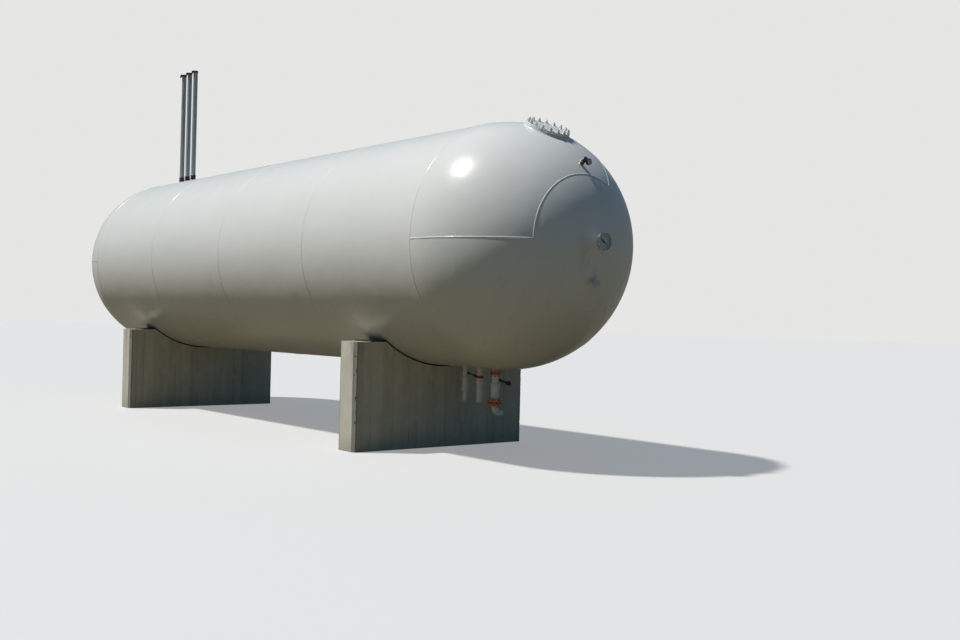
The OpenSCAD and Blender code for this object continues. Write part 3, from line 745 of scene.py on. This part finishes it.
class BuildStage(Operator):
    """Camera at the photo's angle, a pale floor, a sky dome and a soft key light"""

    bl_idname = "tank.build_stage"
    bl_label = "Stage"

    def execute(self, context):
        stage = context.scene.stage_sizes
        self.camera(context, stage)
        self.floor(stage)
        self.key_light(stage)
        self.sky(context, stage)
        context.scene.view_settings.view_transform = "Standard"
        return {"FINISHED"}

    def camera(self, context, stage):
        """Level camera, turned by its yaw and leaned by its roll."""
        data = bpy.data.cameras.new("camera")
        data.sensor_width = 36
        data.lens = stage.lens
        data.clip_end = 500
        camera = show("camera", data)
        level = Matrix.Translation(stage.camera_at) @ turn(math.pi / 2, "X")
        camera.matrix_world = level @ turn(-stage.yaw, "Y") @ turn(stage.roll)
        context.scene.camera = camera

    def floor(self, stage):
        """Wide floor that shows pale and throws back a darker, warmer light."""
        bm = bmesh.new()
        bmesh.ops.create_circle(bm, cap_ends=True, segments=96, radius=160)
        floor = show("floor", mesh_of("floor", bm))
        s = Shader("floor")
        shown = s.seen_share(stage.mirrored)
        glow = [c * stage.floor_glow for c in stage.backdrop]
        lit = [c * (1 - stage.floor_glow) for c in stage.backdrop]
        s.set(Base_Color=s.mix(shown, stage.ground, lit), Roughness=0.9)
        s.set(Emission_Color=s.mix(shown, (0, 0, 0), glow), Emission_Strength=1.0)
        floor.data.materials.append(s.material)

    def key_light(self, stage):
        """Soft key light from the upper left of the view."""
        data = bpy.data.lights.new("key", "SUN")
        data.energy = stage.sun_power
        data.angle = stage.sun_size
        data.color = stage.sun_colour
        flat = math.cos(stage.sun_up)
        towards = Vector((flat * math.cos(stage.sun_turn),
                          flat * math.sin(stage.sun_turn), math.sin(stage.sun_up)))
        show("key", data).rotation_euler = towards.to_track_quat("Z", "Y").to_euler()

    def sky(self, context, stage):
        """Sky dome, deeper overhead and pale at the horizon, and plain in view."""
        world = bpy.data.worlds.new("sky")
        world.use_nodes = True
        context.scene.world = world
        s = Nodes(world.node_tree)
        up = s.parts(s.add("ShaderNodeTexCoord", out="Generated"))[2]
        lower = s.mix(up.step(0.02, 0.26), stage.sky_low, stage.sky_mid)
        dome = s.mix(up.step(0.3, 0.8), lower, stage.sky_top)
        shown = s.seen_share(stage.mirrored)
        light = s.add("ShaderNodeBackground", None, {
            "Color": s.mix(shown, dome, stage.backdrop), "Strength": 1.0})
        s.add("ShaderNodeOutputWorld", None, {"Surface": light}, None)


class PaintNodes(Operator):
    """Every CAD node's finish, by the record's slots"""

    bl_idname = "tank.paint_nodes"
    bl_label = "Finishes"

    def execute(self, context):
        for part in frame["record"]["subparts"]:
            piece = frame["nodes"][part["node"]]
            piece.data.materials.clear()
            piece.data.materials.append(finish_of(part["material_slot"]))
        return {"FINISHED"}


class BuildManway(Operator):
    """Studs and nuts of the manway, and the weld round its pad"""

    bl_idname = "tank.build_manway"
    bl_label = "Manway"

    def execute(self, context):
        sizes = context.scene.tank_sizes
        cover = seen_from_head("manway_cover", sizes.manway_angle)
        face = square_to_head(sizes.manway_angle, max(p.z for p in cover))
        spots = [face @ spun @ move(sizes.stud_circle / 2, 0, 0)
                 for spun in ring_of(sizes.studs, 0.5)]
        self.studs(sizes, spots)
        self.nuts(sizes, spots)
        self.pad_weld(sizes)
        return {"FINISHED"}

    def studs(self, sizes, spots):
        """Threaded studs, each a turned zigzag with a pointed end."""
        bm = bmesh.new()
        outer, pitch, top = sizes.stud_d / 2, sizes.stud_pitch, sizes.stud_up
        root = outer - STUD_ROOT
        profile = [(outer, -STUD_FOOT)]
        for i in range(int(top / pitch) - 1):
            profile += [(outer, i * pitch), (root, (i + 0.5) * pitch)]
        profile += [(root, top - 0.001), (root * 0.8, top), (0, top)]
        for spot in spots:
            turned(bm, profile, spot, 14)
        make_piece("manway_studs", bm, "tank_paint")

    def nuts(self, sizes, spots):
        """Heavy nuts on the cover, each turned a little its own way."""
        bm = bmesh.new()
        rng = random.Random(4)
        for spot in spots:
            own = turn(rng.uniform(0, math.pi / 3))
            hex_nut(bm, spot @ own, sizes.nut_flats, sizes.nut_h)
        make_piece("manway_nuts", bm, "tank_paint", sharp=25)

    def pad_weld(self, sizes):
        """Weld between the pad's rim and the head, laid on the sphere."""
        pad = seen_from_head("manway_pad", sizes.manway_angle)
        radius = max(p.xy.length for p in pad)
        foot = math.sqrt(TANK_R ** 2 - radius ** 2) - TANK_R
        leg = sizes.fillet * 1.3
        fall = radius / (TANK_R + foot)
        inner = radius - 0.004
        profile = [(inner, leg), (radius, leg), (radius + leg * 0.3, leg * 0.35),
                   (radius + leg, -leg * fall), (radius + leg * 0.5, -leg),
                   (inner, -leg)]
        bm = bmesh.new()
        turned(bm, profile, square_to_head(sizes.manway_angle, foot), 180)
        make_piece("manway_weld", bm, "tank_paint")


class BuildWelds(Operator):
    """Welds round the couplings and nozzles"""

    bl_idname = "tank.build_welds"
    bl_label = "Nozzle welds"

    def execute(self, context):
        sizes = context.scene.tank_sizes
        bm = bmesh.new()
        self.on_head(bm, sizes)
        for i, radius in enumerate(NOZZLE_RADII):
            down = move(outlet_x(i), 0, BELLY_Z) @ turn(math.pi, "X")
            weld_fillet(bm, down, radius, sizes.fillet, seed=3 + i)
        for i, x in enumerate(stack_places()):
            up = move(x, 0, AXIS_Z + TANK_R)
            weld_fillet(bm, up, RELIEF_R, sizes.fillet, seed=6 + i)
        make_piece("nozzle_welds", bm, "tank_paint")
        return {"FINISHED"}

    def on_head(self, bm, sizes):
        """Level gauge coupling, thermometer well and gauge valve coupling."""
        tip = NEAR_CENTRE + Vector((TANK_R, 0, 0))
        weld_fillet(bm, along_x(tip), half_width("level_gauge_boss"), sizes.fillet)
        low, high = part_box("thermometer_well")
        drop = AXIS_Z - (low.z + high.z) / 2
        foot = math.sqrt(TANK_R ** 2 - drop ** 2)
        well = NEAR_CENTRE + Vector((foot, 0, -drop))
        weld_fillet(bm, along_x(well), half_width("thermometer_well"),
                    sizes.fillet * 0.8, slope=-drop / foot, seed=1)
        valve = square_to_head(sizes.valve_angle)
        weld_fillet(bm, valve, COUPLING_R, sizes.fillet * 0.7, seed=2)


class BuildLevelGauge(Operator):
    """Marks and numbers of the level gauge, and its bezel's screws"""

    bl_idname = "tank.build_level_gauge"
    bl_label = "Level gauge"

    def execute(self, context):
        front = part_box("level_gauge_dial")[1].x
        face = along_x(Vector((front, 0, AXIS_Z)))
        radius = half_width("level_gauge_dial")
        bm = bmesh.new()
        dial_marks(bm, face, radius * 0.93, count=40, length=0.013, width=0.0022)
        dial_numbers(bm, face, radius * 0.69, range(10, 100, 10), height=0.021)
        make_piece("level_gauge_marks", bm, "dial_print")
        self.screws()
        return {"FINISHED"}

    def screws(self):
        """Round screws in the bezel's rim."""
        thick, inset = 0.0012, 0.0055
        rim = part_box("level_gauge_case")[1].x
        front = along_x(Vector((rim - thick, 0, AXIS_Z)))
        out = move(half_width("level_gauge_case") - inset, 0, 0)
        bm = bmesh.new()
        for spun in ring_of(6, 0.25):
            rod(bm, front @ spun @ out, 0.0028, thick, sides=14, bevel=0.0004)
        make_piece("level_gauge_screws", bm, "bright_metal")


def dial_marks(bm, face, radius, count, length, width):
    """Raised marks round a dial, every fifth one longer, with a gap at the foot."""
    for i in range(count + 1):
        size = 1.0 if i % 5 == 0 else 0.55
        reach = length * size
        spun = turn(DIAL_SWEEP * (i / count - 0.5) + math.pi)
        spot = face @ spun @ move(radius - reach / 2, 0, 0.0002)
        block(bm, spot, (reach, width * size, MARK_T))


def dial_numbers(bm, face, radius, numbers, height):
    """Plain numbers round a dial, upright and clockwise as seen from the front."""
    upright = Matrix(((0, 0, 1, 0), (1, 0, 0, 0), (0, 1, 0, 0), (0, 0, 0, 1)))
    for i, number in enumerate(numbers):
        spun = turn(DIAL_SWEEP * (0.5 - i / (len(numbers) - 1)) + math.pi)
        spot = face @ spun @ move(radius, 0, 0.0003)
        text = bpy.data.curves.new("number", "FONT")
        text.body = str(number)
        text.size = height
        text.align_x = text.align_y = "CENTER"
        text.extrude = 0.0002
        text.resolution_u = 3
        holder = bpy.data.objects.new("number", text)
        mesh = bpy.data.meshes.new_from_object(holder)
        before = len(bm.verts)
        bm.from_mesh(mesh)
        bm.verts.ensure_lookup_table()
        place = Matrix.Translation(spot.translation) @ upright
        bmesh.ops.transform(bm, matrix=place, verts=bm.verts[before:])
        bpy.data.meshes.remove(mesh)
        bpy.data.objects.remove(holder)
        bpy.data.curves.remove(text)


class BuildSmallDials(Operator):
    """Marks, hands and glasses of the thermometer and the pressure gauge"""

    bl_idname = "tank.build_small_dials"
    bl_label = "Small dials"

    def execute(self, context):
        self.dial("thermometer", "thermometer_case", range(0, 81, 20), -40)
        self.dial("pressure_gauge", "pressure_gauge", range(0, 201, 50), 25)
        return {"FINISHED"}

    def dial(self, name, node, numbers, lean):
        """One dial, centred on the round case and with its hand at a lean."""
        low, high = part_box(node)
        radius = (high.z - low.z) / 2
        centre = Vector((high.x, high.y - radius, (low.z + high.z) / 2))
        face = along_x(centre - Vector((0.004, 0, 0)))
        inner = radius - 0.005
        bm = bmesh.new()
        dial_marks(bm, face, inner * 0.93, 20, inner * 0.16, inner * 0.03)
        dial_numbers(bm, face, inner * 0.62, numbers, inner * 0.26)
        rod(bm, face, inner * 0.1, length=0.0018, sides=20, bevel=0.0004)
        hand = face @ turn(math.radians(lean)) @ move(inner * 0.26, 0, 0.0014)
        block(bm, hand, (inner * 0.95, inner * 0.045, MARK_T))
        make_piece(name + "_marks", bm, "dial_print")
        pane = along_x(centre - Vector((0.0016, 0, 0)))
        bm = bmesh.new()
        rod(bm, pane, inner + 0.0005, length=0.0012, sides=64, bevel=0.0003)
        make_piece(name + "_glass", bm, "glass")


class BuildOutlets(Operator):
    """Studs, nuts and screws of the flanges, valves and levers under the tank"""

    bl_idname = "tank.build_outlets"
    bl_label = "Outlets"

    def execute(self, context):
        self.flange_bolts()
        self.valve_screws()
        self.trim("vapour_handle", "vapour_lever", arm=0.13, grip_r=0.018)
        self.trim("liquid_handle", "liquid_lever", arm=0.14, grip_r=0.03)
        return {"FINISHED"}

    def flange_bolts(self):
        """Stud bolts through both pairs of flanges."""
        low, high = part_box("liquid_flanges")
        bms = bmesh.new(), bmesh.new()
        self.joint_bolts(*bms, z=high.z - 0.03, circle_r=0.06035, count=4,
                         half=0.027, flats=0.024, nut_h=0.013)
        self.joint_bolts(*bms, z=low.z + 0.0496, circle_r=0.08415, count=8,
                         half=0.0356, flats=0.029, nut_h=0.019)
        make_piece("flange_nuts", bms[0], "galvanised")
        make_piece("flange_studs", bms[1], "dark_iron")

    def joint_bolts(self, nuts, studs, z, circle_r, count, half, flats, nut_h):
        """Studs of one joint, with a washer and a nut at each end."""
        end = half + nut_h + FLANGE_STUD_PAST
        for spun in ring_of(count, 0.5):
            at = move(outlet_x(2), 0, z) @ spun @ move(circle_r, 0, 0)
            for flip in (Matrix(), turn(math.pi, "X")):
                face = at @ flip @ move(0, 0, half)
                rod(nuts, face, flats * 0.6, WASHER_T, bevel=0.0005)
                hex_nut(nuts, face @ move(0, 0, WASHER_T), flats, nut_h)
            rod(studs, at @ move(0, 0, -end), FLANGE_STUD_R, 2 * end, 14, bevel=0.0015)

    def valve_screws(self):
        """Cap screws on the liquid valve's ring, and a plug in two valve bodies."""
        ring_drop, ring_r = 0.144, 0.0545
        plugs = ((0, 0.038, 0.24), (2, 0.061, 0.27))  # outlet, reach and drop
        bm = bmesh.new()
        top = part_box("liquid_valve")[1].z
        ring = move(outlet_x(2), 0, top - ring_drop)
        for spun in ring_of(8, 0.5):
            hex_nut(bm, ring @ spun @ move(ring_r, 0, 0), flats=0.013, height=0.009)
        for i, reach, drop in plugs:
            level = move(outlet_x(i), 0, BELLY_Z - drop) @ turn(math.pi / 2, "X")
            hex_nut(bm, level @ move(0, 0, reach - 0.004), flats=0.018, height=0.014)
        make_piece("valve_screws", bm, "fitting_paint")

    def trim(self, body, node, arm, grip_r):
        """Nut on a lever's hub, and the ring and screw on the end of its grip."""
        joint = next(j for j in frame["joints"] if j["child"] == body)
        hub = Vector(joint["pos_m"]) + Vector((0.014, 0, 0))
        end = along_x(Vector((
            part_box(node)[1].x, hub.y + arm * math.cos(LEVER_DROOP),
            hub.z - arm * math.sin(LEVER_DROOP))))
        ring = [(grip_r * 0.62, -0.001), (grip_r * 0.62, 0.002),
                (grip_r * 0.9, 0.002), (grip_r * 0.97, -0.001)]
        bm = bmesh.new()
        hex_nut(bm, along_x(hub), flats=0.019, height=0.009)
        rod(bm, along_x(hub), radius=0.006, length=0.014, sides=14, bevel=0.001)
        turned(bm, ring, end)
        hex_nut(bm, end, flats=grip_r * 0.6, height=0.006)
        make_piece(node + "_trim", bm, "dark_iron", body=body)


class BuildVents(Operator):
    """Threads at the foot of the stacks, and hinge pins of the rain caps"""

    bl_idname = "tank.build_vents"
    bl_label = "Relief vents"

    def execute(self, context):
        low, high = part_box("vent_stacks")
        radius = half_width("vent_stacks")
        profile = [(radius - 0.001, 0)]
        for i in range(PIPE_TURNS):
            profile += [(radius + 0.0012, (i + 0.25) * PIPE_PITCH),
                        (radius, (i + 0.75) * PIPE_PITCH)]
        threads, pins = bmesh.new(), bmesh.new()
        for x in stack_places():
            turned(threads, profile, move(x, 0, low.z), 40)
            at = along_x(Vector((x - 0.02, -radius - 0.012, high.z - 0.006)))
            rod(pins, at, radius=0.005, length=0.04, sides=14, bevel=0.001)
        make_piece("stack_threads", threads, "galvanised")
        make_piece("cap_pins", pins, "dark_iron")
        return {"FINISHED"}


class BuildPiers(Operator):
    """Piers with chamfered and chipped corners, board marks and tie holes"""

    bl_idname = "tank.build_piers"
    bl_label = "Piers"

    def execute(self, context):
        sizes = context.scene.pier_sizes
        for seed, name in enumerate(("near_pier", "far_pier")):
            low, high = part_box(name)
            piece = self.pier(sizes, name, high)
            self.cut(piece, self.marks(sizes, low, high, seed))
            self.cut(piece, self.chips(sizes, low, high, seed))
        return {"FINISHED"}

    def pier(self, sizes, name, high):
        """A copy of the CAD pier with its upright corners chamfered."""
        bm = bmesh.new()
        bm.from_mesh(frame["nodes"][name].data)
        bmesh.ops.remove_doubles(bm, verts=bm.verts, dist=1e-5)
        bmesh.ops.dissolve_limit(bm, angle_limit=math.radians(0.5), verts=bm.verts,
                                 edges=bm.edges)
        corners = [e for e in bm.edges
                   if (e.verts[0].co - e.verts[1].co).xy.length < 1e-4
                   and abs(e.verts[0].co.y) > high.y - 1e-3]
        bevelled(bm, corners, sizes.chamfer, 1)
        return make_piece(name + "_concrete", bm, "concrete", sharp=PIER_SHARP,
                          replaced=[name])

    def cut(self, piece, bm):
        """Takes a cutter's volume out of a piece."""
        cutter = show("cutter", mesh_of("cutter", bm))
        modifier = piece.modifiers.new("cut", "BOOLEAN")
        modifier.operation = "DIFFERENCE"
        modifier.solver = "EXACT"
        modifier.use_self = True
        modifier.object = cutter
        bpy.context.view_layer.update()
        graph = bpy.context.evaluated_depsgraph_get()
        made = bpy.data.meshes.new_from_object(piece.evaluated_get(graph))
        shade(made, PIER_SHARP)
        piece.modifiers.clear()
        piece.data = made
        bpy.data.objects.remove(cutter)

    def marks(self, sizes, low, high, seed):
        """Broken grooves along the board joints and tie holes, in both faces."""
        bm = bmesh.new()
        rng = random.Random(40 + seed)
        for x in (low.x, high.x):
            for y in board_joints(sizes):
                self.joint_marks(bm, rng, sizes, x, y, self.top_at(y, high))
            self.tie_holes(bm, sizes, x, low, high)
        return bm

    def joint_marks(self, bm, rng, sizes, x, y, top):
        """Broken groove along one joint between boards, faint or strong."""
        strong = rng.random() ** 2.5
        deep = sizes.groove * (0.25 + strong * 0.75)
        z = rng.uniform(0.03, 0.1)
        while z < top - 0.08:
            length = min(rng.uniform(0.25, 0.7), top - z - 0.02)
            wide = (0.002 + 0.011 * strong) * rng.uniform(0.7, 1.1)
            aside = rng.uniform(-0.0012, 0.0012)
            place = move(x, y + aside, z + length / 2)
            block(bm, place, (2 * deep, wide, length))
            z += length + rng.uniform(0.02, 0.3) * (1.1 - strong)

    def tie_holes(self, bm, sizes, x, low, high):
        """Rows of tie holes on one face."""
        level = turn(math.pi / 2, "Y")
        for z in TIE_ROWS:
            for i in range(5):
                y = low.y + FIRST_TIE + i * sizes.tie_step
                if abs(y) < high.y - 0.1 and z < self.top_at(y, high) - 0.06:
                    place = move(x - sizes.tie_deep, y, z) @ level
                    rod(bm, place, sizes.tie_d / 2, 2 * sizes.tie_deep, 18)

    def chips(self, sizes, low, high, seed):
        """Rough lumps along the chamfers and the top edges, which break them."""
        bm = bmesh.new()
        rng = random.Random(20 + seed)
        middle = (low.x + high.x) / 2
        for x in (low.x, high.x):
            inward = math.copysign(sizes.chamfer, x - middle)
            for y in (low.y, high.y):
                for _ in range(CHIPS):
                    share = rng.choice((0.0, 0.0, rng.random(), 1.0))
                    at = Vector((
                        x - inward * share,
                        y - math.copysign(sizes.chamfer * (1 - share), y),
                        rng.uniform(0.03, high.z - 0.04)))
                    self.lump(bm, rng, at, rng.uniform(0.006, 0.019),
                              rng.uniform(1.0, 3.6))
            for _ in range(TOP_CHIPS):
                side = rng.choice((-1, 1))
                at = Vector((x, side * rng.uniform(1.05, high.y - 0.05), high.z))
                self.lump(bm, rng, at, rng.uniform(0.005, 0.012), 1.0)
        return bm

    def lump(self, bm, rng, at, radius, tall):
        """A faceted lump, which cuts a chip."""
        verts = bmesh.ops.create_icosphere(bm, subdivisions=1, radius=radius)["verts"]
        for vert in verts:
            vert.co *= rng.uniform(0.72, 1.2)
            vert.co.z *= tall
        place = Matrix.Translation(at) @ turn(rng.uniform(0, math.pi))
        bmesh.ops.transform(bm, matrix=place, verts=verts)

    def top_at(self, y, high):
        """Height of a pier at a place across it."""
        cradle = TANK_R + CRADLE_GAP
        if abs(y) >= cradle:
            return high.z
        return min(high.z, AXIS_Z - math.sqrt(cradle ** 2 - y ** 2))


OPERATORS = (BuildStage, PaintNodes, BuildManway, BuildWelds, BuildLevelGauge,
             BuildSmallDials, BuildOutlets, BuildVents, BuildPiers)
GROUPS = {"tank_sizes": TankSizes, "pier_sizes": PierSizes, "stage_sizes": StageSizes}


class TankPanel(Panel):
    """Buttons for the tank's pieces"""

    bl_idname = "VIEW3D_PT_tank"
    bl_label = "Pressure Tank"
    bl_space_type = "VIEW_3D"
    bl_region_type = "UI"
    bl_category = "Tank"

    def draw(self, context):
        for operator in OPERATORS:
            self.layout.operator(operator.bl_idname, text=operator.bl_label)


CLASSES = (*GROUPS.values(), *OPERATORS, TankPanel)


def register():
    """Registers the classes and hangs the sizes on the scene."""
    for made in CLASSES:
        bpy.utils.register_class(made)
    for name, group in GROUPS.items():
        setattr(bpy.types.Scene, name, PointerProperty(type=group))


def unregister():
    """Takes the classes and the sizes away again."""
    for name in GROUPS:
        delattr(bpy.types.Scene, name)
    for made in reversed(CLASSES):
        bpy.utils.unregister_class(made)


def main():
    """Builds every piece in order."""
    register()
    bpy.ops.tank.build_stage()
    bpy.ops.tank.paint_nodes()
    bpy.ops.tank.build_manway()
    bpy.ops.tank.build_welds()
    bpy.ops.tank.build_level_gauge()
    bpy.ops.tank.build_small_dials()
    bpy.ops.tank.build_outlets()
    bpy.ops.tank.build_vents()
    bpy.ops.tank.build_piers()


if __name__ == "__main__":
    main()
